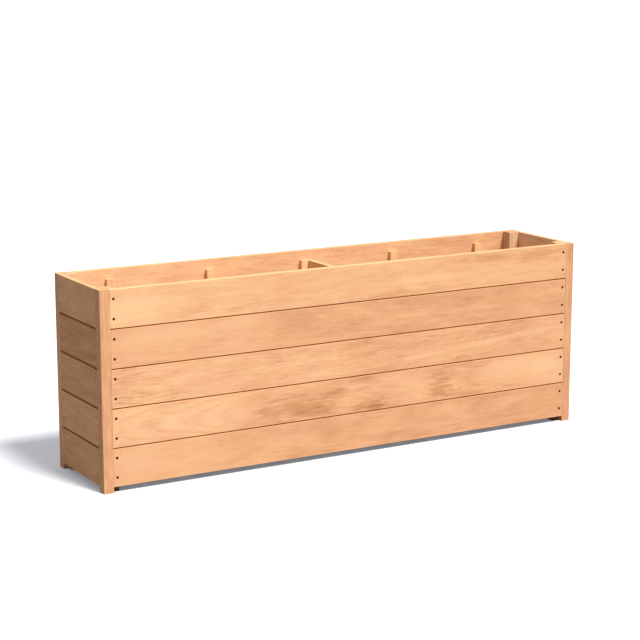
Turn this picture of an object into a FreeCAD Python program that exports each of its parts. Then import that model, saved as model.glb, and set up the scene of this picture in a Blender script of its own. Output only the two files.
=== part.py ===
import FreeCAD, Part
import math
import os

import Sketcher

Vector = FreeCAD.Vector
ALONG = Vector(1, 0, 0)
ACROSS = Vector(0, 1, 0)
UP = Vector(0, 0, 1)

# A floor-standing planter: plank walls screwed into rebated corner posts, stiffened inside by
# upright battens and a cross brace, with a slatted floor on ledgers. All timber is of three
# stocks: planks, square posts and battens. Origin at the middle of the footprint on the ground,
# X along the box, the front wall towards -Y.

PLANK_ROWS = 5
BATTEN_COLUMNS = 5
FLOOR_BOARDS = 13
LEDGER_SCREWS = 9
DRIVE_POINTS = 6
# Screws stand in pairs, a quarter of the board in from either edge
QUARTERS = (0.25, 0.75)
# Countersunk heads are cones of this angle: their height is half of what they add to the shank
HEAD_ANGLE = 90
# Directions and places closer than this are the same
NEAR = 0.001

# Driving sizes in millimetres: name, value, what it measures
SIZES = (
    ("box_length", "2000", "outside length, left to right"),
    ("box_depth", "400", "outside depth, front to rear"),
    ("foot_height", "20", "lowest plank above the ground"),
    ("plank_height", "136", "width of the plank stock"),
    ("plank_thickness", "20", "thickness of the plank stock"),
    ("plank_seam", "3", "open seam between two planks of a wall"),
    ("end_gap", "0.5", "play between a board's end and what it butts against"),
    ("edge_radius", "2", "rounding along the edges of planks, brace and floor boards"),
    ("post_size", "65", "side of the square post stock"),
    ("post_face", "37", "strip of post that shows beside the plank ends"),
    ("post_radius", "3", "rounding of the outer and inner corner of a post"),
    ("batten_width", "30", "width of the batten stock"),
    ("batten_depth", "18", "thickness of the batten stock"),
    ("batten_radius", "1.5", "rounding along the edges of battens and ledgers"),
    ("rim_drop", "37", "tops of battens and brace below the rim"),
    ("end_clear", "24", "ends of a batten kept clear of screws, so that they don't split"),
    ("floor_gap", "13", "drainage gap beside each floor board"),
    ("floor_play", "1", "play between the floor and the batten feet above it"),
    ("notch_play", "2", "play round the posts in the notched floor boards"),
    ("wall_shank", "5", "shank diameter of the screws in the posts"),
    ("wall_head", "10", "head diameter of the screws in the posts"),
    ("inner_shank", "4", "shank diameter of the screws inside the box"),
    ("inner_head", "8", "head diameter of the screws inside the box"),
    ("screw_sink", "0.5", "screw heads below the face of the wood"),
    ("screw_play", "0.1", "play round a screw in its hole"),
    ("cross_play", "3", "wood between the tip of one post screw and the next screw's shank"),
    ("tip_cover", "4.5", "wood left beyond the tip of a screw inside the box"),
    ("drive_size", "3.8", "star drive, point to point"),
    ("drive_waist", "2.6", "star drive, across the inner corners"),
    ("drive_depth", "1.8", "depth of the star drive"),
)

doc = FreeCAD.newDocument("planter")
sheet = doc.addObject("Spreadsheet::Sheet", "Sizes")
for row, (alias, number, meaning) in enumerate(SIZES, 1):
    sheet.set(f"A{row}", meaning)
    sheet.set(f"B{row}", number)
    sheet.setAlias(f"B{row}", alias)
doc.recompute()

# Sizes worked out from the driving ones
ROW_PITCH = "(Sizes.plank_height + Sizes.plank_seam)"
RIM = f"(Sizes.foot_height + {PLANK_ROWS} * {ROW_PITCH} - Sizes.plank_seam)"
LONG_WALL = "(Sizes.box_length - 2 * Sizes.post_face - 2 * Sizes.end_gap)"
END_WALL = "(Sizes.box_depth - 2 * Sizes.post_face - 2 * Sizes.end_gap)"
INNER_LENGTH = "(Sizes.box_length - 2 * Sizes.plank_thickness)"
CROSS_LENGTH = "(Sizes.box_depth - 2 * Sizes.plank_thickness - 2 * Sizes.end_gap)"
FRONT_INSIDE = "(Sizes.plank_thickness - Sizes.box_depth / 2)"
REAR_INSIDE = "(Sizes.box_depth / 2 - Sizes.plank_thickness)"
POST_INSIDE = "(Sizes.post_size - Sizes.plank_thickness)"
LAP_CENTRE = "((Sizes.post_face + Sizes.post_size) / 2)"
LAP_INSET = f"({LAP_CENTRE} - Sizes.post_face - Sizes.end_gap)"
LEDGER_LENGTH = "(Sizes.box_length - 2 * Sizes.post_size - 2 * Sizes.end_gap)"
FLOOR_FOOT = "(Sizes.foot_height + Sizes.batten_width)"
BATTEN_FOOT = f"({FLOOR_FOOT} + Sizes.plank_thickness + Sizes.floor_play)"
BATTEN_TOP = f"({RIM} - Sizes.rim_drop)"
BATTEN_PITCH = f"(Sizes.box_length / {BATTEN_COLUMNS})"
LEDGER_PITCH = f"({BATTEN_PITCH} / 2)"
LEDGER_SCREW_RISE = "(Sizes.batten_width / 4)"
BATTEN_SEAT = "(Sizes.batten_depth / 2 - Sizes.end_gap)"

POST_SCREW = f"({LAP_CENTRE} - Sizes.wall_shank / 2 - Sizes.cross_play - Sizes.screw_sink)"
BATTEN_SCREW = "(Sizes.batten_depth + Sizes.plank_thickness - Sizes.tip_cover - Sizes.screw_sink)"
BRACE_SCREW = "(Sizes.plank_thickness + Sizes.batten_width - Sizes.tip_cover - Sizes.screw_sink)"
FLOOR_SCREW = "(Sizes.plank_thickness + Sizes.batten_width / 2 - Sizes.screw_sink)"


def value(expression):
    return float(sheet.evalExpression(expression))


def spread(count):
    """Steps from the middle of a row of count things, such as -1, 0, 1 for three."""
    return [step - (count - 1) / 2 for step in range(count)]


def plank_foot(row):
    return f"(Sizes.foot_height + {row} * {ROW_PITCH})"


def wall_screw_rises():
    """Two screws in each plank end, half a row apart, so that they stand evenly up the post."""
    return [f"(Sizes.plank_height / 2 + {ROW_PITCH} * {step / 2})" for step in spread(2)]


def post_screw_heights():
    """The screws of every row, above the ground."""
    rows = [plank_foot(row) for row in range(PLANK_ROWS)]
    return [f"({foot} + {rise})" for foot in rows for rise in wall_screw_rises()]


def batten_screw_heights(row):
    """Two screws where a batten crosses a plank, a quarter in from each end of the crossing
    that is clear of the batten's own ends."""
    low = f"max({plank_foot(row)}; {BATTEN_FOOT} + Sizes.end_clear)"
    high = f"min({plank_foot(row)} + Sizes.plank_height; {BATTEN_TOP} - Sizes.end_clear)"
    return [f"({low} + ({high} - {low}) * {share})" for share in QUARTERS]


def brace_screw_heights():
    """Midway between the three uppermost batten screws, so that no two screws meet."""
    below = batten_screw_heights(PLANK_ROWS - 2)[1]
    lower, upper = batten_screw_heights(PLANK_ROWS - 1)
    return [f"(({below} + {lower}) / 2)", f"(({lower} + {upper}) / 2)"]


def new_body(label):
    body = doc.addObject("PartDesign::Body", label)
    body.Label = label
    return body


def new_sketch(body, name, role, lift="0"):
    """A sketch on one of the body's own planes, moved along that plane's normal by lift."""
    sketch = body.newObject("Sketcher::SketchObject", name)
    plane = next(feature for feature in body.Origin.OriginFeatures if feature.Role == role)
    sketch.AttachmentSupport = (plane, [""])
    sketch.MapMode = "FlatFace"
    sketch.setExpression("AttachmentOffset.Base.z", lift)
    return sketch


def pin_point(sketch, geometry, position, x, y):
    """Fixes a point of the sketch at the expressions x and y."""
    for kind, axis, expression in (("DistanceX", -2, x), ("DistanceY", -1, y)):
        if expression == "0":
            sketch.addConstraint(Sketcher.Constraint("PointOnObject", geometry, position, axis))
            continue
        limit = Sketcher.Constraint(kind, -1, 1, geometry, position, value(expression))
        index = sketch.addConstraint(limit)
        sketch.setExpression(f"Constraints[{index}]", expression)


def draw_outline(sketch, corners):
    """A closed outline of straight lines through corners given as pairs of expressions."""
    points = [Vector(value(x), value(y), 0) for x, y in corners]
    first = len(sketch.Geometry)
    for index, point in enumerate(points):
        sketch.addGeometry(Part.LineSegment(point, points[(index + 1) % len(points)]), False)
    for index, (x, y) in enumerate(corners):
        follower = first + (index + 1) % len(corners)
        sketch.addConstraint(Sketcher.Constraint("Coincident", first + index, 2, follower, 1))
        pin_point(sketch, first + index, 1, x, y)


def rectangle(width, height):
    return [("0", "0"), (width, "0"), (width, height), ("0", height)]


def pad_outline(body, role, corners, length):
    sketch = new_sketch(body, "outline", role)
    draw_outline(sketch, corners)
    pad = body.newObject("PartDesign::Pad", "stock")
    pad.Profile = sketch
    pad.setExpression("Length", length)
    doc.recompute()


def round_edges(body, direction, radius, corners=None):
    """Rounds the edges that run along direction: all of them, or the upright ones at corners."""
    base = body.Tip
    names = []
    for number, edge in enumerate(base.Shape.Edges, 1):
        if edge.tangentAt(edge.FirstParameter).cross(direction).Length > NEAR:
            continue
        middle = edge.CenterOfMass
        if corners is None or any(math.hypot(middle.x - x, middle.y - y) < NEAR for x, y in corners):
            names.append(f"Edge{number}")
    fillet = body.newObject("PartDesign::Fillet", "rounded")
    fillet.Base = (base, names)
    fillet.setExpression("Radius", radius)
    doc.recompute()


def drill(body, role, lift, centres, shank, depth=None, head=None, flipped=False):
    """Drills holes at centres on a plane of the body: blind to depth, or right through.
    With a head, each hole is countersunk. Returns the holes' mouths as (point, direction)."""
    sketch = new_sketch(body, "hole_centres", role, lift)
    bore = f"{shank} + 2 * Sizes.screw_play"
    for x, y in centres:
        circle = Part.Circle(Vector(value(x), value(y), 0), UP, value(bore) / 2)
        geometry = sketch.addGeometry(circle, False)
        pin_point(sketch, geometry, 3, x, y)
        index = sketch.addConstraint(Sketcher.Constraint("Diameter", geometry, value(bore)))
        sketch.setExpression(f"Constraints[{index}]", bore)
    doc.recompute()
    before = body.Shape.Volume
    hole = body.newObject("PartDesign::Hole", "holes")
    hole.Profile = sketch
    doc.recompute()
    hole.ThreadType = "None"
    hole.Reversed = flipped
    hole.setExpression("Diameter", bore)
    hole.DrillPoint = "Flat"
    if depth is None:
        hole.DepthType = "ThroughAll"
    else:
        hole.DepthType = "Dimension"
        hole.setExpression("Depth", f"{depth} + Sizes.screw_play")
    if head is not None:
        hole.HoleCutType = "Countersink"
        hole.HoleCutCustomValues = True
        hole.HoleCutCountersinkAngle = HEAD_ANGLE
        hole.setExpression("HoleCutDiameter", f"{head} + 2 * Sizes.screw_sink + 2 * Sizes.screw_play")
    doc.recompute()
    plug = math.pi * (value(bore) / 2) ** 3
    if before - body.Shape.Volume < len(centres) * plug:
        raise RuntimeError(f"{body.Label}: holes drilled away from the wood")
    inward = sketch.Placement.Rotation.multVec(UP) * (1 if flipped else -1)
    return [(sketch.Placement.multVec(circle.Center), inward) for circle in sketch.Geometry]


def place(piece, x, y, z, turn=0):
    """Puts a piece at the expressions x, y, z, turned about the vertical by turn degrees."""
    piece.Placement = FreeCAD.Placement(Vector(), FreeCAD.Rotation(UP, turn))
    for axis, expression in (("x", x), ("y", y), ("z", z)):
        piece.setExpression(f"Placement.Base.{axis}", expression)


# Walls, seen from outside: a wall's own x runs along it from its left end, y goes inwards
WALLS = (
    ("front", 0, f"-{LONG_WALL} / 2", "-Sizes.box_depth / 2", LONG_WALL),
    ("right", 90, "Sizes.box_length / 2", f"-{END_WALL} / 2", END_WALL),
    ("rear", 180, f"{LONG_WALL} / 2", "Sizes.box_depth / 2", LONG_WALL),
    ("left", 270, "-Sizes.box_length / 2", f"{END_WALL} / 2", END_WALL),
)
CORNERS = (
    ("front_left", 0, "-Sizes.box_length / 2", "-Sizes.box_depth / 2"),
    ("front_right", 90, "Sizes.box_length / 2", "-Sizes.box_depth / 2"),
    ("rear_right", 180, "Sizes.box_length / 2", "Sizes.box_depth / 2"),
    ("rear_left", 270, "-Sizes.box_length / 2", "Sizes.box_depth / 2"),
)

pieces = []


def add_piece(piece, mouths=()):
    """Keeps a finished piece, and returns the mouths of its screw holes as screw seats."""
    pieces.append(piece)
    return [(piece, point, inward) for point, inward in mouths]


# Corner posts: square timber with a rebate on each outer face for the plank ends
def corner_post(name, turn, x, y):
    body = new_body(f"post_{name}")
    rebate, face, side = "Sizes.plank_thickness", "Sizes.post_face", "Sizes.post_size"
    profile = [("0", "0"), (face, "0"), (face, rebate), (side, rebate)]
    profile += [(side, side), (rebate, side), (rebate, face), ("0", face)]
    pad_outline(body, "XY_Plane", profile, RIM)
    round_edges(body, UP, "Sizes.post_radius", [(0, 0), (value(side), value(side))])
    bite = f"({POST_SCREW} + Sizes.screw_sink - Sizes.plank_thickness)"
    centres = [(LAP_CENTRE, height) for height in post_screw_heights()]
    drill(body, "XZ_Plane", "-Sizes.plank_thickness", centres, "Sizes.wall_shank", bite)
    drill(body, "YZ_Plane", "Sizes.plank_thickness", centres, "Sizes.wall_shank", bite, flipped=True)
    place(body, x, y, "0", turn)
    add_piece(body)


for corner in CORNERS:
    corner_post(*corner)


# Wall planks: each lies in the rebates of two posts, with two screws through each end
def wall_plank(wall, turn, x, y, length, row):
    body = new_body(f"{wall}_plank_{row + 1}")
    pad_outline(body, "YZ_Plane", rectangle("Sizes.plank_thickness", "Sizes.plank_height"), length)
    round_edges(body, ALONG, "Sizes.edge_radius")
    ends = (LAP_INSET, f"{length} - {LAP_INSET}")
    centres = [(end, rise) for end in ends for rise in wall_screw_rises()]
    mouths = drill(body, "XZ_Plane", "0", centres, "Sizes.wall_shank", head="Sizes.wall_head")
    if length == LONG_WALL:
        columns = [f"{length} / 2 + {step} * {BATTEN_PITCH}" for step in spread(BATTEN_COLUMNS)]
        pilots = [(column, f"{height} - {plank_foot(row)}")
                  for column in columns for height in batten_screw_heights(row)]
        if row == 0:
            steps = spread(LEDGER_SCREWS)
            pilots += [(f"{length} / 2 + {step} * {LEDGER_PITCH}", LEDGER_SCREW_RISE) for step in steps]
        drill(body, "XZ_Plane", "-Sizes.plank_thickness", pilots, "Sizes.inner_shank",
              "(Sizes.plank_thickness - Sizes.tip_cover)", flipped=True)
    place(body, x, y, plank_foot(row), turn)
    return add_piece(body, mouths)


wall_seats = {}
for wall, turn, x, y, length in WALLS:
    wall_seats[wall] = []
    for row in range(PLANK_ROWS):
        wall_seats[wall] += wall_plank(wall, turn, x, y, length, row)


# Upright battens: screwed to every plank of a long wall from inside
def batten(wall, column, step):
    body = new_body(f"{wall}_batten_{column + 1}")
    pad_outline(body, "XY_Plane", rectangle("Sizes.batten_width", "Sizes.batten_depth"),
                f"{BATTEN_TOP} - {BATTEN_FOOT}")
    round_edges(body, UP, "Sizes.batten_radius")
    heights = [height for row in range(PLANK_ROWS) for height in batten_screw_heights(row)]
    centres = [("Sizes.batten_width / 2", f"{height} - {BATTEN_FOOT}") for height in heights]
    mouths = drill(body, "XZ_Plane", "-Sizes.batten_depth", centres, "Sizes.inner_shank",
                   head="Sizes.inner_head", flipped=True)
    front = wall == "front"
    if step == 0:
        # The middle battens take the brace's screws in the side that faces the right end
        rises = [f"{height} - {BATTEN_FOOT}" for height in brace_screw_heights()]
        drill(body, "YZ_Plane", "Sizes.batten_width" if front else "0",
              [("Sizes.batten_depth / 2", rise) for rise in rises], "Sizes.inner_shank",
              "(Sizes.batten_width - Sizes.tip_cover)", flipped=not front)
    middle = f"{step} * {BATTEN_PITCH}"
    if front:
        place(body, f"{middle} - Sizes.batten_width / 2", FRONT_INSIDE, BATTEN_FOOT)
    else:
        place(body, f"{middle} + Sizes.batten_width / 2", REAR_INSIDE, BATTEN_FOOT, 180)
    return add_piece(body, mouths)


batten_seats = {}
for wall in ("front", "rear"):
    batten_seats[wall] = []
    for column, step in enumerate(spread(BATTEN_COLUMNS)):
        batten_seats[wall] += batten(wall, column, step)


# Cross brace: a length of plank on edge against the right side of the two middle battens
def cross_brace():
    body = new_body("cross_brace")
    pad_outline(body, "YZ_Plane", rectangle("Sizes.plank_thickness", "Sizes.plank_height"), CROSS_LENGTH)
    round_edges(body, ALONG, "Sizes.edge_radius")
    foot = f"({BATTEN_TOP} - Sizes.plank_height)"
    ends = (BATTEN_SEAT, f"{CROSS_LENGTH} - {BATTEN_SEAT}")
    centres = [(end, f"{height} - {foot}") for end in ends for height in brace_screw_heights()]
    mouths = drill(body, "XZ_Plane", "0", centres, "Sizes.inner_shank", head="Sizes.inner_head")
    place(body, "Sizes.batten_width / 2 + Sizes.plank_thickness", f"-{CROSS_LENGTH} / 2", foot, 90)
    return add_piece(body, mouths)


brace_seats = cross_brace()


# Floor layout: boards laid front to rear share the length between the end walls evenly
BOARD_PITCH = f"(({INNER_LENGTH} - Sizes.floor_gap) / {FLOOR_BOARDS})"
BOARD_WIDTH = f"({BOARD_PITCH} - Sizes.floor_gap)"
NOTCH_WIDTH = f"({POST_INSIDE} - Sizes.floor_gap + Sizes.notch_play)"
NOTCH_DEPTH = f"({POST_INSIDE} - Sizes.end_gap + Sizes.notch_play)"


def is_notched(number):
    return number in (0, FLOOR_BOARDS - 1)


def is_turned(number):
    """The last board is the first one turned about, so that its notches face the right end."""
    return number == FLOOR_BOARDS - 1


def board_start(number):
    return f"(Sizes.floor_gap - {INNER_LENGTH} / 2 + {number} * {BOARD_PITCH})"


def board_screw_reaches(number):
    """Two screws across a floor board, a quarter in from each edge of what bears on the ledger."""
    inset = NOTCH_WIDTH if is_notched(number) else "0"
    return [f"({inset} + ({BOARD_WIDTH} - {inset}) * {share})" for share in QUARTERS]


def floor_screw_places():
    """Where the floor's screws stand along X, from the middle of the box."""
    places = []
    for number in range(FLOOR_BOARDS):
        for reach in board_screw_reaches(number):
            across = f"({BOARD_WIDTH} - {reach})" if is_turned(number) else reach
            places.append(f"({board_start(number)} + {across})")
    return places


# Floor ledgers: battens along the foot of the long walls, between the posts
def ledger(wall):
    body = new_body(f"{wall}_ledger")
    pad_outline(body, "YZ_Plane", rectangle("Sizes.batten_depth", "Sizes.batten_width"), LEDGER_LENGTH)
    round_edges(body, ALONG, "Sizes.batten_radius")
    middle = f"{LEDGER_LENGTH} / 2"
    centres = [(f"{middle} + {step} * {LEDGER_PITCH}", LEDGER_SCREW_RISE) for step in spread(LEDGER_SCREWS)]
    mouths = drill(body, "XZ_Plane", "-Sizes.batten_depth", centres, "Sizes.inner_shank",
                   head="Sizes.inner_head", flipped=True)
    # The rear ledger is turned about, so the floor's screws come along it in the other order
    front = wall == "front"
    side = "+" if front else "-"
    pilots = [(f"{middle} {side} {screw}", "Sizes.batten_depth / 2") for screw in floor_screw_places()]
    drill(body, "XY_Plane", "Sizes.batten_width", pilots, "Sizes.inner_shank", "(Sizes.batten_width / 2)")
    if front:
        place(body, f"-{middle}", FRONT_INSIDE, "Sizes.foot_height")
    else:
        place(body, middle, REAR_INSIDE, "Sizes.foot_height", 180)
    return add_piece(body, mouths)


ledger_seats = ledger("front") + ledger("rear")


# Floor boards: laid across the ledgers, the end ones notched round the posts
def floor_board(number):
    body = new_body(f"floor_board_{number + 1}")
    width, length, thickness = BOARD_WIDTH, CROSS_LENGTH, "Sizes.plank_thickness"
    pad_outline(body, "XY_Plane", rectangle(width, length), thickness)
    round_edges(body, ACROSS, "Sizes.edge_radius")
    if is_notched(number):
        sketch = new_sketch(body, "notches", "XY_Plane", thickness)
        draw_outline(sketch, rectangle(NOTCH_WIDTH, NOTCH_DEPTH))
        far = f"({length} - {NOTCH_DEPTH})"
        draw_outline(sketch, [("0", far), (NOTCH_WIDTH, far), (NOTCH_WIDTH, length), ("0", length)])
        notches = body.newObject("PartDesign::Pocket", "post_notches")
        notches.Profile = sketch
        notches.Type = "ThroughAll"
        doc.recompute()
    ends = (BATTEN_SEAT, f"{length} - {BATTEN_SEAT}")
    centres = [(reach, end) for reach in board_screw_reaches(number) for end in ends]
    mouths = drill(body, "XY_Plane", thickness, centres, "Sizes.inner_shank", head="Sizes.inner_head")
    if is_turned(number):
        place(body, f"{board_start(number)} + {width}", f"{length} / 2", FLOOR_FOOT, 180)
    else:
        place(body, board_start(number), f"-{length} / 2", FLOOR_FOOT)
    return add_piece(body, mouths)


floor_seats = []
for number in range(FLOOR_BOARDS):
    floor_seats += floor_board(number)


# Countersunk wood screws with a star drive, turned about Z with the head at the origin
def screw(label, length, shank, head):
    body = new_body(label)
    profile = new_sketch(body, "profile", "XZ_Plane")
    draw_outline(profile, [("0", "0"), (f"{head} / 2", "0"), (f"{shank} / 2", f"({head} - {shank}) / 2"),
                           (f"{shank} / 2", f"{length} - {shank}"), ("0", length)])
    turned = body.newObject("PartDesign::Revolution", "turned")
    turned.Profile = profile
    turned.ReferenceAxis = (profile, ["V_Axis"])
    turned.Angle = 360
    star = new_sketch(body, "star", "XY_Plane")
    corners = []
    for corner in range(2 * DRIVE_POINTS):
        across = "Sizes.drive_waist" if corner % 2 else "Sizes.drive_size"
        angle = (corner + 0.5) * math.pi / DRIVE_POINTS
        corners.append((f"{across} / 2 * {math.cos(angle):.6f}", f"{across} / 2 * {math.sin(angle):.6f}"))
    draw_outline(star, corners)
    doc.recompute()
    before = body.Shape.Volume
    drive = body.newObject("PartDesign::Pocket", "drive")
    drive.Profile = star
    drive.Reversed = True
    drive.setExpression("Length", "Sizes.drive_depth")
    doc.recompute()
    if body.Shape.Volume >= before:
        raise RuntimeError(f"{label}: the drive cuts nothing")
    return body


def screw_group(label, pattern, seats):
    """One piece of several screws, each sunk into the mouth of its own hole."""
    copies = []
    for body, point, inward in seats:
        mouth = body.Placement.multVec(point)
        direction = body.Placement.Rotation.multVec(inward)
        copy = pattern.Shape.copy()
        sunk = mouth + direction * value("Sizes.screw_sink")
        copy.Placement = FreeCAD.Placement(sunk, FreeCAD.Rotation(UP, direction))
        copies.append(copy)
    group = doc.addObject("Part::Feature", label)
    group.Label = label
    group.Shape = Part.makeCompound(copies)
    add_piece(group)


post_screw = screw("post_screw", POST_SCREW, "Sizes.wall_shank", "Sizes.wall_head")
batten_screw = screw("batten_screw", BATTEN_SCREW, "Sizes.inner_shank", "Sizes.inner_head")
brace_screw = screw("brace_screw", BRACE_SCREW, "Sizes.inner_shank", "Sizes.inner_head")
floor_screw = screw("floor_screw", FLOOR_SCREW, "Sizes.inner_shank", "Sizes.inner_head")
doc.recompute()
for wall, seats in wall_seats.items():
    screw_group(f"{wall}_post_screws", post_screw, seats)
for wall, seats in batten_seats.items():
    screw_group(f"{wall}_batten_screws", batten_screw, seats)
screw_group("brace_screws", brace_screw, brace_seats)
screw_group("ledger_screws", batten_screw, ledger_seats)
screw_group("floor_screws", floor_screw, floor_seats)
doc.recompute()

# Nothing is written unless every object is sound
for item in doc.Objects:
    if "Invalid" in item.State or "Error" in item.State:
        raise RuntimeError(f"{item.Label} failed: {item.State}")
for piece in pieces:
    if piece.Shape.isNull() or not piece.Shape.isValid():
        raise RuntimeError(f"{piece.Label} has no sound shape")

os.makedirs("parts", exist_ok=True)
for piece in pieces:
    piece.Shape.exportStep(f"parts/{piece.Label}.step")
print(f"{len(pieces)} pieces written")
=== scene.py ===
import math
import random

import bpy
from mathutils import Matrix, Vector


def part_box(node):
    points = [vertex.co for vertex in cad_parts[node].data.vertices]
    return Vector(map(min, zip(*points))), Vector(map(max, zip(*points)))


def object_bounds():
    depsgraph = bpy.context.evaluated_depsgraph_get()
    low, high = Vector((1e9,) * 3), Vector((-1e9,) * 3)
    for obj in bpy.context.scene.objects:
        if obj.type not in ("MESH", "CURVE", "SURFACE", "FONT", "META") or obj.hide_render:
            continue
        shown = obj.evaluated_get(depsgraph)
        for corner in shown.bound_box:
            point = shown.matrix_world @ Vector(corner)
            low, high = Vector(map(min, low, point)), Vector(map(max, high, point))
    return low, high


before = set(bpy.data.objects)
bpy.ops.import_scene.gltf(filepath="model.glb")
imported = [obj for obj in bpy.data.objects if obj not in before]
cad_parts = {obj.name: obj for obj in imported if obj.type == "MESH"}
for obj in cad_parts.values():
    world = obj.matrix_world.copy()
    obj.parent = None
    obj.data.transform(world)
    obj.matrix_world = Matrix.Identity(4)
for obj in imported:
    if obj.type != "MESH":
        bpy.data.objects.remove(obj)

CAD_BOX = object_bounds()


# Corner posts: four square posts of the same pale orange hardwood as the walls, planed with
# eased edges. Each is rebated on two faces, where the wall planks are let in and screwed, and
# its sawn top shows end grain.
class Field:
    """One output of a shader node. Arithmetic on it adds Math nodes to the same tree."""

    def __init__(self, tree, socket=None):
        self.tree = tree
        self.socket = socket

    def node(self, kind, settings, sockets, out=0):
        """Adds a node of this kind: its settings first, then its sockets' values or links."""
        made = self.tree.nodes.new(kind)
        for name, value in settings.items():
            if name == "stops":
                stops = made.color_ramp.elements
                for index, (position, colour) in enumerate(value):
                    stop = stops[index] if index < 2 else stops.new(position)
                    stop.position = position
                    stop.color = (*colour, 1.0)
            else:
                setattr(made, name, value)
        for name, value in sockets.items():
            if isinstance(value, Field):
                self.tree.links.new(value.socket, made.inputs[name])
            else:
                made.inputs[name].default_value = value
        return Field(self.tree, made.outputs[out] if made.outputs else None)

    def sibling(self, out):
        """Another output of the node that this one comes from."""
        return Field(self.tree, self.socket.node.outputs[out])

    def math(self, operation, *values):
        """A Math node with this operation on these values."""
        return self.node("ShaderNodeMath", {"operation": operation}, dict(enumerate(values)))

    def fade(self, start, end):
        """0 at start and 1 at end, smooth between them."""
        return self.node(
            "ShaderNodeMapRange",
            {"interpolation_type": "SMOOTHSTEP"},
            {"Value": self, "From Min": start, "From Max": end},
        )

    def blend(self, way, share, first, second):
        """Two colours blended in this way, MIX or MULTIPLY, by a share of the second."""
        first, second = [
            colour if isinstance(colour, Field) else (*colour, 1.0) for colour in (first, second)
        ]
        return self.node(
            "ShaderNodeMix",
            {"data_type": "RGBA", "blend_type": way},
            {0: share, 6: first, 7: second},
            2,
        )

    def bump(self, strength, depth):
        """A normal that has this field as its relief, so deep in metres."""
        return self.node(
            "ShaderNodeBump", {}, {"Strength": strength, "Distance": depth, "Height": self}
        )

    def __add__(self, other):
        return self.math("ADD", self, other)

    def __sub__(self, other):
        return self.math("SUBTRACT", self, other)

    def __rsub__(self, other):
        return self.math("SUBTRACT", other, self)

    def __mul__(self, other):
        return self.math("MULTIPLY", self, other)

    def __truediv__(self, other):
        return self.math("DIVIDE", self, other)

    def __pow__(self, power):
        return self.math("POWER", self, power)

    def __abs__(self):
        return self.math("ABSOLUTE", self)

    __radd__ = __add__
    __rmul__ = __mul__


def new_finish(name):
    """A new material: itself, its surface shader, and the place on the piece to start from."""
    material = bpy.data.materials.new(name)
    material.use_nodes = True
    surface = material.node_tree.nodes["Principled BSDF"]
    place = Field(material.node_tree).node("ShaderNodeTexCoord", {}, {}, "Object")
    return material, surface, place


def feed(surface, **fields):
    """Links fields to the surface shader's sockets, Base_Color to Base Color and so on."""
    for name, field in fields.items():
        field.tree.links.new(field.socket, surface.inputs[name.replace("_", " ")])


def dress(node_name, material):
    """Gives a CAD node this material in each of its slots."""
    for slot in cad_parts[node_name].material_slots:
        slot.material = material


NOISE_MEAN = 0.5


def flow(place, stretch, shift, detail, rough=0.5):
    """Noise about 0, in cells of 1 / stretch metres along each axis."""
    cells = place.node(
        "ShaderNodeVectorMath", {"operation": "MULTIPLY_ADD"}, {0: place, 1: stretch, 2: shift}
    )
    noise = cells.node(
        "ShaderNodeTexNoise",
        {"noise_dimensions": "3D"},
        {"Vector": cells, "Scale": 1.0, "Detail": detail, "Roughness": rough},
    )
    return noise - NOISE_MEAN


# Colours of the wood from its darkest tone to its palest, and of its pores, its rubbed edges
# with their painted highlight, and the painted shade along its seams.
DEEP_WOOD = (0.520, 0.222, 0.098)
DARK_WOOD = (0.665, 0.302, 0.140)
MID_WOOD = (0.885, 0.462, 0.238)
PALE_WOOD = (0.985, 0.600, 0.320)
WOOD_STOPS = ((0.0, DEEP_WOOD), (1.0, PALE_WOOD), (0.2, DARK_WOOD), (0.6, MID_WOOD))
PORE_WOOD = (0.330, 0.130, 0.052)
PALE_EDGE_AND_HIGHLIGHT = (0.990, 0.660, 0.380)
PAINTED_SEAM_SHADE = (0.420, 0.155, 0.024)
# Casts, which the wood's colour is multiplied by: its own hue, then that of each kind of place.
# Those of the seam gaps and mouths, the faces within the walls, the feet and the rim are painted
# shade.
GOLDEN_CAST = (1.000, 1.012, 0.965)
RUDDY_CAST = (0.995, 0.965, 1.000)
GAP_SHADE_TINT = (1.060, 0.980, 0.540)
MOUTH_SHADE = (0.470, 0.390, 0.260)
INSIDE_SHADE_CAST = (0.930, 1.020, 1.060)
POST_INSIDE_SHADE_CAST = (0.860, 1.100, 1.220)
END_CAST = (0.930, 0.890, 0.870)
POST_END_CAST = (0.950, 1.010, 1.080)
GOLDEN_END_CAST = (0.950, 1.190, 1.190)
FOOT_SHADE_CAST = (0.290, 0.260, 0.170)
RIM_SHADE_CAST = (0.990, 0.940, 0.900)
# Growth rings: where a pith line may lie and lean, how far it wanders, the width of a ring, and
# the part of each ring over which it darkens and then ends, with the mean of that.
PITH_ASIDE = 0.05
PITH_DEEP = (0.06, 0.16)
PITH_LEAN = 0.012
PITH_TILT = 0.05
PITH_WANDER = 0.030
RING_PITCH = 0.009
RING_RIPPLE = 0.6
RING_DARKENS = (0.25, 0.88)
RING_ENDS = (1.0, 0.90)
RING_MEAN = 0.35
# Cells of the mottle in metres, (length along the grain, width), and of the streaks that follow
# the rings, (in a metre along, in a ring, in a metre through). Then how rough the noise is, and
# how many cells away that of a piece may start.
WANDER_CELLS = (0.70, 0.25)
SWAY_CELLS = (0.45, 0.20)
RIPPLE_CELLS = (0.10, 0.012)
FINE_CELLS = (0.060, 0.0030)
DASH_CELLS = (0.070, 0.0075)
FLECK_CELLS = (0.020, 0.0045)
PATCH_CELLS = (0.24, 0.085)
BLOTCH_CELLS = (0.11, 0.032)
PORE_CELLS = (0.022, 0.0007)
HUE_CELLS = (0.30, 0.060)
BROAD_STREAKS = (2.2, 0.34, 3.0)
MEDIUM_STREAKS = (7.0, 1.05, 8.0)
STREAK_ROUGH = 0.6
PATCH_ROUGH = 0.55
NOISE_REACH = 50
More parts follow.
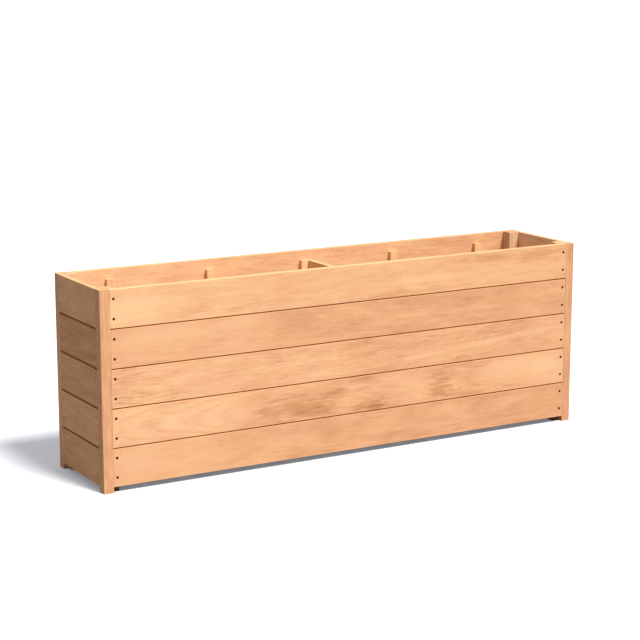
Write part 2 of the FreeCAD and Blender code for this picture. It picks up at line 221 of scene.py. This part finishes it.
# Levels between which a mark comes in, and the least that the rings show outside their place.
PALE_DASH = (0.09, 0.17)
DARK_DASH = (-0.09, -0.17)
FLECK = (0.17, 0.24)
PORE = (0.10, 0.24)
RINGED = (-0.10, 0.16)
RINGED_LEAST = 0.3
FLAMED = (1.2, 0.5)
FLAMED_LEAST = 0.1
# What each adds to the tone, and the tone's and the hue's middle and spread.
MEDIUM_TONE = 0.45
FINE_TONE = 0.34
PALE_DASH_TONE = 0.16
DARK_DASH_TONE = 0.19
FLECK_TONE = 0.20
BROAD_TONE = 0.50
PATCH_TONE = 0.60
BLOTCH_TONE = 0.40
MID_TONE = 0.5
TONE_SPREAD = 0.8
TONE_LEAST = 0.2
MID_HUE = 0.5
HUE_SPREAD = 2.4
# Listed marks: how far from their middle they fade, and what makes their borders ragged.
MARK_FADE = (1.35, 0.0)
PATCH_RAG = 1.6
BLOTCH_RAG = 2.4
DASH_RAG = 2.6
RAGGED_LENGTH = 0.15
# The planks' thickness, the height of the walls' foot, and the distances in metres, from none to
# all, over which an edge, end, face, foot, rim or seam changes.
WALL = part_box("front_plank_1")[1][1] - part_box("front_plank_1")[0][1]
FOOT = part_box("front_plank_1")[0][2]
EASED_EDGE = (0.0035, 0.0005)
SAWN_END = (0.0012, 0.0002)
WITHIN_WALLS = (WALL - 0.003, WALL - 0.0005)
SHADED_FOOT = (FOOT + 0.004, FOOT - 0.001)
TOP_RIM = (0.0030, 0.0)
SEAM_EDGE = (0.0050, 0.0012)
SEAM_GAP = (0.0011, 0.0002)
MOUTH_EDGE = (0.0013, 0.0004)
MOUTH_DEPTH = (0.0036, 0.0024)
EDGE_RAG = 0.004
# How far the pores and the pale edges, rubbed and with their painted highlight, hide the wood,
# and the feel of the surface.
PORE_SHARE = 0.22
EASED_SHARE = 0.25
FINE_RELIEF = 0.5
RING_RELIEF = 0.12
PORE_RELIEF = 0.35
GRAIN_BUMP = 0.35
GRAIN_DEPTH = 0.0006
WOOD_ROUGH = 0.68
FINE_ROUGH = 0.25
PORE_ROUGH = 0.12
EASED_SMOOTH = 0.08
WOOD_GLOSS = 0.14


def timber(
    name,
    seed,
    lift=0.0,
    drift=0.0,
    ruddy=0.0,
    pith=None,
    figure=0.10,
    grain=1.0,
    flame=None,
    marks=(),
    seams=(),
    seam_shade=0.0,
    inside_shade=INSIDE_SHADE_CAST,
    ends=END_CAST,
):
    """The wood of one piece: growth rings round a pith line, streaks, mottle and pores that
    follow its grain, and eased edges, rubbed paler and with a painted highlight. Faces within
    the walls take a painted shade tint, less red, and the feet are painted dark with shade where
    the planks overhang them. Lift is the piece's tone, drift the change of it in a metre along
    the piece, and ruddy its cast. Pith is the line that the rings go round, (across, through,
    lean, tilt). Figure is how much the rings show and grain how much the streaks do. Flame is
    where the rings show most, (along, half length), and marks are its own light and dark places,
    each (along, across, half length, half width, lean, strength). Seams are the long edges, -1
    or 1, that face another plank, and the seam shade is how much painted shade lies along them.
    The inside shade is the painted shade tint of the faces within the walls, and ends the cast
    of the end grain."""
    draw = random.Random(seed)
    low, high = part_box(name)
    span = [high[axis] - low[axis] for axis in range(3)]
    middle = [(high[axis] + low[axis]) / 2 for axis in range(3)]
    thin, across, along = sorted(range(3), key=lambda axis: span[axis])
    if pith is None:
        pith = (
            draw.uniform(-PITH_ASIDE, PITH_ASIDE),
            draw.choice((-1, 1)) * draw.uniform(*PITH_DEEP),
            draw.uniform(-PITH_LEAN, PITH_LEAN),
            draw.uniform(-PITH_TILT, PITH_TILT),
        )
    material, surface, place = new_finish(name + "_timber")
    centred = place.node(
        "ShaderNodeVectorMath", {"operation": "SUBTRACT"}, {0: place, 1: middle}
    )
    split = centred.node("ShaderNodeSeparateXYZ", {}, {0: centred})
    u = split.sibling(along)
    v = split.sibling(across)
    w = split.sibling(thin)

    def shift():
        return [draw.uniform(-NOISE_REACH, NOISE_REACH) for axis in range(3)]

    def mottle(cells, detail, rough=0.5):
        """Noise in cells of this length and width, which lie along the grain."""
        length, width = cells
        stretch = [1 / width] * 3
        stretch[along] = 1 / length
        return flow(centred, stretch, shift(), detail, rough)

    # Growth rings: distance from a pith line that leans and wanders along the piece.
    wander = mottle(WANDER_CELLS, detail=1.0)
    sway = mottle(SWAY_CELLS, detail=1.0)
    from_pith_v = v - pith[0] - u * pith[2] + wander * PITH_WANDER
    from_pith_w = w - pith[1] - u * pith[3] + sway * PITH_WANDER
    radius = (from_pith_v * from_pith_v + from_pith_w * from_pith_w) ** 0.5
    ripple = mottle(RIPPLE_CELLS, detail=2.0)
    rings = radius / RING_PITCH + ripple * RING_RIPPLE
    # Each ring darkens slowly towards its late wood and ends sharply.
    phase = rings.math("FRACT", rings)
    late = phase.fade(*RING_DARKENS) * phase.fade(*RING_ENDS)
    # Streaks keep to the rings, so that they bend with the figure.
    grain_place = rings.node("ShaderNodeCombineXYZ", {}, {0: u, 1: rings, 2: w})
    broad = flow(grain_place, BROAD_STREAKS, shift(), detail=2.0, rough=STREAK_ROUGH)
    medium = flow(grain_place, MEDIUM_STREAKS, shift(), detail=2.0, rough=STREAK_ROUGH)
    fine = mottle(FINE_CELLS, detail=3.0, rough=STREAK_ROUGH)
    dash = mottle(DASH_CELLS, detail=1.0, rough=STREAK_ROUGH)
    fleck = mottle(FLECK_CELLS, detail=1.0).fade(*FLECK)
    patch = mottle(PATCH_CELLS, detail=2.0, rough=PATCH_ROUGH)
    blotch = mottle(BLOTCH_CELLS, detail=2.0, rough=PATCH_ROUGH)
    pores = mottle(PORE_CELLS, detail=1.0).fade(*PORE)
    if flame is None:
        ringed = patch.fade(*RINGED) * (1 - RINGED_LEAST) + RINGED_LEAST
    else:
        from_flame = abs(u - flame[0]) / flame[1] + blotch
        ringed = from_flame.fade(*FLAMED) * (1 - FLAMED_LEAST) + FLAMED_LEAST
    streaks = (
        medium * MEDIUM_TONE
        + fine * FINE_TONE
        + dash.fade(*PALE_DASH) * PALE_DASH_TONE
        - dash.fade(*DARK_DASH) * DARK_DASH_TONE
        - fleck * ringed * FLECK_TONE
    )
    tone = (
        (RING_MEAN - late) * ringed * figure
        + streaks * grain
        + broad * BROAD_TONE
        + patch * PATCH_TONE
        + blotch * BLOTCH_TONE
        + u * drift
        + (MID_TONE + lift)
    )
    # Marks have ragged borders, smoother the longer they are.
    rag = patch * PATCH_RAG + blotch * BLOTCH_RAG + dash * DASH_RAG
    for at, aside, half_length, half_width, lean, strength in marks:
        off_along = (u - at) / half_length
        off_across = (v - aside - (u - at) * lean) / half_width
        reach = off_along * off_along + off_across * off_across
        ragged = reach + rag * min(1.0, RAGGED_LENGTH / half_length)
        tone = tone + ragged.fade(*MARK_FADE) * strength
    wood = tone.node(
        "ShaderNodeValToRGB", {"stops": WOOD_STOPS}, {0: tone * TONE_SPREAD + TONE_LEAST}
    )
    hue = mottle(HUE_CELLS, detail=1.0) * HUE_SPREAD + (MID_HUE + ruddy)
    cast = hue.blend("MIX", hue, GOLDEN_CAST, RUDDY_CAST)
    worn = wood.blend("MULTIPLY", 1.0, wood, cast)
    worn = worn.blend("MIX", pores * PORE_SHARE, worn, PORE_WOOD)
    # Eased edges: the long ones are rubbed paler, a paleness that also stands as a painted
    # highlight on their rounding, and the sawn ends have a cast of their own.
    to_end, to_edge, to_face = [
        span[axis] / 2 - abs(field) for axis, field in ((along, u), (across, v), (thin, w))
    ]
    to_corner = to_edge.math("MAXIMUM", to_edge, to_face) + dash * EDGE_RAG
    eased = to_corner.fade(*EASED_EDGE)
    worn = worn.blend("MIX", eased * EASED_SHARE, worn, PALE_EDGE_AND_HIGHLIGHT)
    # Painted shade by place, found by distance into the whole box: a tint on the faces within the
    # walls, darkness on the feet where the planks overhang them, and a toned-down rim.
    far_x, far_y, far_z = CAD_BOX[1]
    world = place.node("ShaderNodeSeparateXYZ", {}, {0: place})
    height = world.sibling(2)
    from_end = far_x - abs(world)
    from_side = far_y - abs(world.sibling(1))
    from_rim = far_z - height
    from_wall = from_end.math("MINIMUM", from_end, from_side)
    inside = from_wall.math("MINIMUM", from_wall, from_rim + WITHIN_WALLS[0])
    within = inside.fade(*WITHIN_WALLS)
    casts = [
        (to_end.fade(*SAWN_END), ends),
        (within, inside_shade),
        (within * height.fade(*SHADED_FOOT), FOOT_SHADE_CAST),
        # painted shade: the tops at the rim are toned down, as they catch the most light
        (from_rim.fade(*TOP_RIM), RIM_SHADE_CAST),
    ]
    for mask, colour in casts:
        worn = worn.blend("MULTIPLY", mask, worn, colour)
    # Seams: painted shade along them, a painted golden tint on the shade within the gap, and
    # painted shade at the mouth, on the upper edge of the plank below.
    for side in seams:
        to_gap = span[across] / 2 - v * side
        if seam_shade:
            share = (to_gap + dash * EDGE_RAG).fade(*SEAM_EDGE) * seam_shade
            worn = worn.blend("MIX", share, worn, PAINTED_SEAM_SHADE)
        worn = worn.blend("MULTIPLY", to_gap.fade(*SEAM_GAP), worn, GAP_SHADE_TINT)
        if side > 0:
            mouth = to_gap.fade(*MOUTH_EDGE) * to_face.fade(*MOUTH_DEPTH)
            worn = worn.blend("MULTIPLY", mouth, worn, MOUTH_SHADE)
    relief = fine * FINE_RELIEF + late * RING_RELIEF - pores * PORE_RELIEF
    feed(
        surface,
        Base_Color=worn,
        Roughness=WOOD_ROUGH + fine * FINE_ROUGH + pores * PORE_ROUGH - eased * EASED_SMOOTH,
        Normal=relief.bump(GRAIN_BUMP, GRAIN_DEPTH),
    )
    surface.inputs["Specular IOR Level"].default_value = WOOD_GLOSS
    return material


POST_SEED = 11
POST_RUDDY = 0.35
POST_CHARACTER = {
    "front_left": dict(lift=-0.19, ends=POST_END_CAST),
    "front_right": dict(lift=-0.21, ends=GOLDEN_END_CAST),
    "rear_left": dict(lift=-0.12, ends=POST_END_CAST),
    "rear_right": dict(lift=-0.20, ends=POST_END_CAST),
}
for index, (corner, character) in enumerate(POST_CHARACTER.items()):
    post = "post_" + corner
    finish = timber(post, POST_SEED + index, ruddy=POST_RUDDY, inside_shade=POST_INSIDE_SHADE_CAST, **character)
    dress(post, finish)


# Long walls: five planks each, full length between the post strips, planed hardwood with eased
# edges and narrow seams between them. They lie in the posts' rebates and are screwed to them.
# From the foot up, the front ones are plain, flamed, streaky, plain and golden.
FRONT_SEED = 100
REAR_SEED = 120
PLANK_FIGURE = 0.12
# Edges of each row's plank that face another: -1 is the lower edge and 1 the upper.
SEAMS = {1: (1,), 2: (-1, 1), 3: (-1, 1), 4: (-1, 1), 5: (-1,)}
# Drift makes each front plank paler towards the left end, and the broad pale marks at the left of
# rows 1 and 4 do so too: this is painted light.
FRONT_FIGURE = {
    1: dict(
        lift=-0.15,
        drift=-0.10,
        figure=0.06,
        grain=0.60,
        pith=(0.030, -0.150, 0.004, 0.020),
        marks=(
            (-0.72, 0.020, 0.30, 0.070, 0.0, 0.16),
            (0.92, 0.000, 0.14, 0.090, 0.0, 0.10),
        ),
    ),
    2: dict(
        lift=-0.02,
        drift=-0.02,
        figure=0.20,
        grain=0.85,
        flame=(-0.72, 0.24),
        pith=(0.004, -0.125, 0.0, 0.060),
        marks=(
            (-0.90, 0.000, 0.14, 0.100, 0.0, 0.28),
            (-0.62, 0.000, 0.19, 0.085, 0.0, 0.38),
            (-0.17, -0.006, 0.36, 0.120, 0.0, -0.14),
            (-0.24, -0.020, 0.15, 0.040, 0.0, -0.16),
            (-0.17, -0.044, 0.09, 0.022, 0.0, -0.16),
            (-0.07, 0.016, 0.06, 0.022, 0.0, -0.18),
            (-0.04, -0.010, 0.05, 0.014, 0.0, 0.16),
            (0.04, 0.054, 0.08, 0.016, 0.0, -0.18),
            (0.05, -0.036, 0.08, 0.036, 0.0, -0.30),
            (0.22, 0.004, 0.10, 0.065, 0.0, 0.14),
            (0.39, -0.022, 0.055, 0.044, 0.0, -0.26),
            (0.48, 0.004, 0.13, 0.080, 0.0, -0.12),
            (0.54, 0.054, 0.07, 0.014, 0.0, -0.16),
            (0.76, 0.016, 0.22, 0.048, 0.02, 0.38),
            (0.90, -0.020, 0.10, 0.070, 0.0, 0.18),
        ),
    ),
    3: dict(
        lift=-0.02,
        drift=-0.08,
        figure=0.12,
        grain=1.15,
        pith=(-0.090, -0.110, 0.045, 0.010),
        marks=(
            (-0.92, 0.010, 0.13, 0.085, 0.0, -0.20),
            (-0.83, -0.045, 0.14, 0.022, 0.05, -0.14),
            (-0.31, 0.032, 0.08, 0.035, 0.0, -0.18),
            (-0.37, 0.004, 0.04, 0.022, 0.0, 0.16),
            (-0.20, -0.048, 0.22, 0.015, 0.0, 0.14),
            (0.48, -0.012, 0.52, 0.012, 0.074, 0.20),
            (0.45, 0.034, 0.45, 0.018, 0.060, -0.14),
            (0.91, -0.006, 0.14, 0.080, 0.0, 0.22),
        ),
    ),
    4: dict(
        lift=-0.15,
        drift=-0.08,
        figure=0.06,
        grain=0.60,
        pith=(0.040, -0.160, -0.005, 0.015),
        marks=(
            (-0.70, 0.010, 0.45, 0.100, 0.0, 0.16),
            (-0.74, 0.036, 0.17, 0.030, 0.0, 0.14),
            (-0.44, 0.042, 0.13, 0.025, 0.0, 0.14),
            (-0.30, -0.012, 0.06, 0.030, 0.0, -0.10),
            (0.22, 0.000, 0.36, 0.110, 0.0, -0.09),
            (0.90, 0.000, 0.22, 0.100, 0.0, 0.16),
        ),
    ),
    5: dict(
        lift=0.08,
        drift=-0.10,
        ruddy=-0.50,
        figure=0.10,
        grain=0.65,
        pith=(0.120, -0.090, 0.030, 0.005),
        marks=(
            (-0.90, 0.000, 0.16, 0.085, 0.0, 0.28),
            (-0.66, -0.036, 0.17, 0.022, 0.0, -0.14),
            (-0.40, -0.046, 0.16, 0.020, 0.0, -0.14),
            (0.50, -0.010, 0.54, 0.018, 0.0, 0.16),
            (0.58, 0.042, 0.14, 0.016, 0.0, -0.16),
            (0.85, 0.036, 0.12, 0.024, 0.0, -0.14),
            (0.30, -0.054, 0.36, 0.013, 0.0, -0.14),
        ),
    ),
}
for row, character in FRONT_FIGURE.items():
    plank = f"front_plank_{row}"
    dress(plank, timber(plank, FRONT_SEED + row, seams=SEAMS[row], **character))
REAR_LIFT = {1: -0.10, 2: 0.04, 3: -0.04, 4: 0.06, 5: -0.02}
REAR_DRIFT = -0.18
for row, lift in REAR_LIFT.items():
    plank = f"rear_plank_{row}"
    finish = timber(
        plank,
        REAR_SEED + row,
        lift=lift,
        drift=REAR_DRIFT,
        figure=PLANK_FIGURE,
        seams=SEAMS[row],
    )
    dress(plank, finish)


# End walls: five short planks each, of the same boards, let into the posts and screwed.
# The rows line up with the long walls' rows all round the box, and their seams carry more painted
# shade.
END_SEED = {"left": 140, "right": 150}
# The left wall's lifts and ruddy cast make it darker and more golden than the other walls: beyond
# plank tone, this paints in part of that wall's shade.
END_LIFT = {
    "left": {1: -0.17, 2: 0.03, 3: -0.20, 4: -0.42, 5: -0.03},
    "right": {1: -0.06, 2: -0.12, 3: 0.05, 4: 0.10, 5: 0.16},
}
END_RUDDY = {"left": -0.70, "right": 0.0}
END_INSIDE_SHADE = {"left": INSIDE_SHADE_CAST, "right": (0.920, 1.070, 1.190)}
END_SEAM_SHADE = 0.84
for side, lifts in END_LIFT.items():
    for row, lift in lifts.items():
        plank = f"{side}_plank_{row}"
        finish = timber(
            plank,
            END_SEED[side] + row,
            lift=lift,
            ruddy=END_RUDDY[side],
            figure=PLANK_FIGURE,
            seams=SEAMS[row],
            seam_shade=END_SEAM_SHADE,
            inside_shade=END_INSIDE_SHADE[side],
        )
        dress(plank, finish)


# Battens and the cross brace: slim upright strips of the same wood, screwed inside the long
# walls, hold the planks in line. One plank on edge from wall to wall, screwed to the side of the
# middle pair, keeps the walls from bowing.
# The battens and brace lie within the walls and take a painted shade tint of their own, less red.
STRIP_INSIDE_SHADE_CAST = (0.905, 1.050, 0.985)
BATTEN_SEED = {"front": 170, "rear": 180}
BATTENS = 5
BATTEN_LIFT = 0.12
BATTEN_CHANGE = 0.03
BATTEN_TONES = 3
BRACE_SEED = 190
BRACE_LIFT = -0.02
for side, seed in BATTEN_SEED.items():
    for column in range(1, BATTENS + 1):
        batten = f"{side}_batten_{column}"
        lift = BATTEN_LIFT + BATTEN_CHANGE * (column % BATTEN_TONES)
        dress(batten, timber(batten, seed + column, lift=lift, inside_shade=STRIP_INSIDE_SHADE_CAST))
brace_finish = timber(
    "cross_brace", BRACE_SEED, lift=BRACE_LIFT, figure=PLANK_FIGURE, inside_shade=STRIP_INSIDE_SHADE_CAST
)
dress("cross_brace", brace_finish)


# Floor: two ledgers of the same wood, screwed along the foot of the long walls, carry thirteen
# crosswise boards, screwed down. The boards lie apart for drainage, and the end ones are notched
# round the posts.
LEDGER_SEED = {"front": 200, "rear": 201}
LEDGER_LIFT = -0.08
FLOOR_BOARDS = 13
FLOOR_SEED = 210
FLOOR_LIFT = -0.06
FLOOR_CHANGE = 0.03
FLOOR_TONES = 4
for side, seed in LEDGER_SEED.items():
    ledger = f"{side}_ledger"
    dress(ledger, timber(ledger, seed, lift=LEDGER_LIFT))
for number in range(1, FLOOR_BOARDS + 1):
    board = f"floor_board_{number}"
    lift = FLOOR_LIFT + FLOOR_CHANGE * (number % FLOOR_TONES)
    dress(board, timber(board, FLOOR_SEED + number, lift=lift, figure=PLANK_FIGURE))


# Wall screws: bronze coated steel with a star drive, two at each plank end, sunk just below the
# face into countersinks so that they show as dark brown dots. Those in the end walls get a
# lighter bronze, a painted lift against those walls' shade, so that they stand out less.
COAT_BUMP = 0.2
COAT_DEPTH = 0.0002
GRIT_ROUGH = 0.6


def coated_steel(name, coat, rubbed, grit_scale, grit_shift, wear, roughness, metal):
    """The finish of a screw: the colour of its coat, and that of the coat rubbed, which comes
    in between two levels of the grit, wear. Roughness is its middle and how far the grit
    changes it."""
    material, surface, place = new_finish(name)
    grit = flow(place, (grit_scale,) * 3, grit_shift, detail=3.0, rough=GRIT_ROUGH)
    worn = grit.fade(*wear)
    feed(
        surface,
        Base_Color=worn.blend("MIX", worn, coat, rubbed),
        Roughness=roughness[0] + grit * roughness[1],
        Normal=grit.bump(COAT_BUMP, COAT_DEPTH),
    )
    surface.inputs["Metallic"].default_value = metal
    return material


BRONZE = dict(
    grit_scale=520.0,
    grit_shift=(3.0, 7.0, 1.0),
    wear=(0.02, 0.22),
    roughness=(0.48, 0.5),
    metal=1.0,
)
BRONZE_DARK = (0.070, 0.028, 0.010)
BRONZE_WORN = (0.150, 0.070, 0.030)
END_WALL_LIGHTENED_BRONZE = (0.150, 0.078, 0.036)
END_WALL_LIGHTENED_BRONZE_WORN = (0.240, 0.135, 0.070)
side_screw = coated_steel("bronze_coated_screw", BRONZE_DARK, BRONZE_WORN, **BRONZE)
end_screw = coated_steel("shade_matched_bronze_screw", END_WALL_LIGHTENED_BRONZE, END_WALL_LIGHTENED_BRONZE_WORN, **BRONZE)
WALL_SCREWS = {"front": side_screw, "rear": side_screw, "left": end_screw, "right": end_screw}
for side, finish in WALL_SCREWS.items():
    dress(f"{side}_post_screws", finish)


# Inner screws: plain zinc coated steel, countersunk, which fix the battens, brace, ledgers and
# floor boards from inside. The zinc is mottled with brighter spangles.
ZINC = dict(
    grit_scale=700.0,
    grit_shift=(2.0, 5.0, 9.0),
    wear=(-0.15, 0.20),
    roughness=(0.40, 0.4),
    metal=0.9,
)
ZINC_DULL = (0.30, 0.30, 0.31)
ZINC_BRIGHT = (0.56, 0.56, 0.55)
inner_screw = coated_steel("zinc_coated_screw", ZINC_DULL, ZINC_BRIGHT, **ZINC)
for group in ("front_batten", "rear_batten", "brace", "ledger", "floor"):
    dress(f"{group}_screws", inner_screw)


# Studio floor: a plain white sheet that shows white to the camera and keeps the box's shadow.
# To the box itself it is a dull ground, so that it throws little light back up.
FLOOR_HALF = 60.0
FLOOR_BOUNCE = (0.10, 0.10, 0.10)
FLOOR_SEEN = (0.75, 0.75, 0.75)
FLOOR_GLOW = (0.153, 0.163, 0.183)


def seen_directly(start):
    """1 to what the camera sees, also in metal or through glass, and 0 to the light."""
    path = start.node("ShaderNodeLightPath", {}, {}, "Is Camera Ray")
    seen = path.math("MAXIMUM", path, path.sibling("Is Glossy Ray"))
    return seen.math("MAXIMUM", seen, path.sibling("Is Transmission Ray"))


corners = [(x * FLOOR_HALF, y * FLOOR_HALF, 0.0) for x, y in ((-1, -1), (1, -1), (1, 1), (-1, 1))]
sheet = bpy.data.meshes.new("studio_floor")
sheet.from_pydata(corners, [], [(0, 1, 2, 3)])
floor = bpy.data.objects.new("studio_floor", sheet)
bpy.context.scene.collection.objects.link(floor)
floor_paint = bpy.data.materials.new("studio_floor_paint")
floor_paint.use_nodes = True
floor_paint.node_tree.nodes.clear()
start = Field(floor_paint.node_tree)
bounce = start.node("ShaderNodeBsdfDiffuse", {}, {"Color": (*FLOOR_BOUNCE, 1.0)})
paint = start.node("ShaderNodeBsdfDiffuse", {}, {"Color": (*FLOOR_SEEN, 1.0)})
glow = start.node("ShaderNodeEmission", {}, {"Color": (*FLOOR_GLOW, 1.0), "Strength": 1.0})
shown = start.node("ShaderNodeAddShader", {}, {0: paint, 1: glow})
floor_mix = start.node("ShaderNodeMixShader", {}, {0: seen_directly(start), 1: bounce, 2: shown})
start.node("ShaderNodeOutputMaterial", {}, {"Surface": floor_mix})
sheet.materials.append(floor_paint)


# Studio light: one soft key from the front, a little right and well above, and an even pale
# room round the box. The room shows as white behind the floor's edge.
KEY_STRENGTH = 4.35
KEY_SPREAD = math.radians(14.0)
KEY_FROM = (0.19, -0.65, 1.0)
ROOM_LIGHT = (0.440, 0.452, 0.478)
ROOM_WHITE = (1.0, 1.0, 1.0)
key = bpy.data.lights.new("key_light", "SUN")
key.energy = KEY_STRENGTH
key.angle = KEY_SPREAD
key_lamp = bpy.data.objects.new("key_light", key)
key_lamp.rotation_euler = (
    math.atan2(math.hypot(KEY_FROM[0], KEY_FROM[1]), KEY_FROM[2]),
    0.0,
    math.atan2(KEY_FROM[0], -KEY_FROM[1]),
)
bpy.context.scene.collection.objects.link(key_lamp)
room = bpy.data.worlds.new("studio_room")
room.use_nodes = True
room.node_tree.nodes.clear()
start = Field(room.node_tree)
lit = start.node("ShaderNodeBackground", {}, {"Color": (*ROOM_LIGHT, 1.0), "Strength": 1.0})
white = start.node("ShaderNodeBackground", {}, {"Color": (*ROOM_WHITE, 1.0), "Strength": 1.0})
room_mix = start.node("ShaderNodeMixShader", {}, {0: seen_directly(start), 1: lit, 2: white})
start.node("ShaderNodeOutputWorld", {}, {"Surface": room_mix})
bpy.context.scene.world = room
bpy.context.scene.view_settings.view_transform = "Standard"


# Camera: a long lens on a stand, six metres in front of the left corner and a metre above the
# rim, as in the photograph. It is level, and looks down and to the right by these degrees.
SENSOR_WIDTH = 36.0
LENS = 100.702
STAND = (-3.31529, -5.66784, 1.82726)
LOOK_DOWN = 11.6544
LOOK_RIGHT = 30.1062
camera = bpy.data.cameras.new("studio_camera")
camera.sensor_width = SENSOR_WIDTH
camera.lens = LENS
camera_stand = bpy.data.objects.new("studio_camera", camera)
camera_stand.location = STAND
camera_stand.rotation_euler = (math.radians(90 - LOOK_DOWN), 0.0, math.radians(-LOOK_RIGHT))
bpy.context.scene.collection.objects.link(camera_stand)
bpy.context.scene.camera = camera_stand
